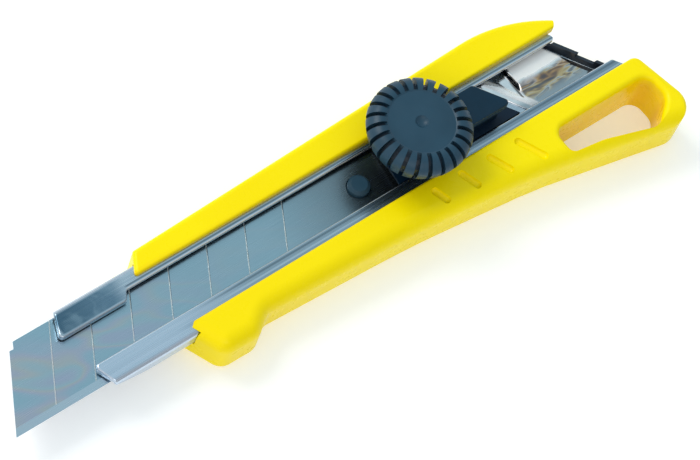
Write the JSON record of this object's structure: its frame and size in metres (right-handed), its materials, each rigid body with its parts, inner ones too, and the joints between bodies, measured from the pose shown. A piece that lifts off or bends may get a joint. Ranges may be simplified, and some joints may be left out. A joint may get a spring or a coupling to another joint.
{
  "type": "snap off knife",
  "caption": "Screw-lock utility knife with a sliding snap-off blade in a steel channel, yellow moulded handle, grooved lock wheel and hanging hole.",
  "frame": {"origin": "centre of the footprint, on the flat back of the handle", "axes": "+X from the blade tip towards the hanging end, +Y from the cutting edge towards the blade's spine, +Z out of the back through the lock wheel"},
  "size_m": [0.1699, 0.0412, 0.0251],
  "materials": {
    "handle_plastic": "smooth gloss moulded plastic, yellow",
    "channel_steel": "rolled steel sheet, semi bright",
    "blade_steel": "ground blade steel with brighter edge bevel",
    "slider_plastic": "dark blue moulded plastic, satin",
    "wheel_plastic": "dark blue grey moulded plastic, satin",
    "plain_steel": "plain bright steel",
    "nut_brass": "turned brass",
    "clip_chrome": "bright plated sheet",
    "cap_plastic": "near black moulded plastic"
  },
  "bodies": {
    "handle": {"handle_body": "handle_plastic", "blade_channel": "channel_steel"},
    "slider": {"blade_carrier": "slider_plastic", "slider_block": "slider_plastic", "snap_blade": "blade_steel", "thrust_washer": "plain_steel"},
    "wheel": {"lock_wheel": "wheel_plastic", "wheel_nut": "nut_brass"},
    "clamp": {"clamp_bolt": "plain_steel"},
    "tail_cap": {"tail_clip": "clip_chrome", "end_cap": "cap_plastic"}
  },
  "joints": [
    {"name": "slider_travel", "type": "slide", "parent": "handle", "child": "slider", "axis": [1, 0, 0], "range_m": [-0.06, 0.0232]},
    {"name": "wheel_turn", "type": "hinge", "parent": "slider", "child": "wheel", "pos_m": [0.02344, 0.00538, 0.02], "axis": [0, 0, 1], "range_deg": [0, 150]},
    {"name": "clamp_lift", "type": "slide", "parent": "slider", "child": "clamp", "axis": [0, 0, -1], "range_m": [0, 0.000333]},
    {"name": "tail_cap_pull", "type": "slide", "parent": "handle", "child": "tail_cap", "axis": [1, 0, 0], "range_m": [0, 0.024]}
  ],
  "couplings": [
    {"joint": "wheel_turn", "follows": "clamp_lift", "rad_per_m": 7854}
  ]
}
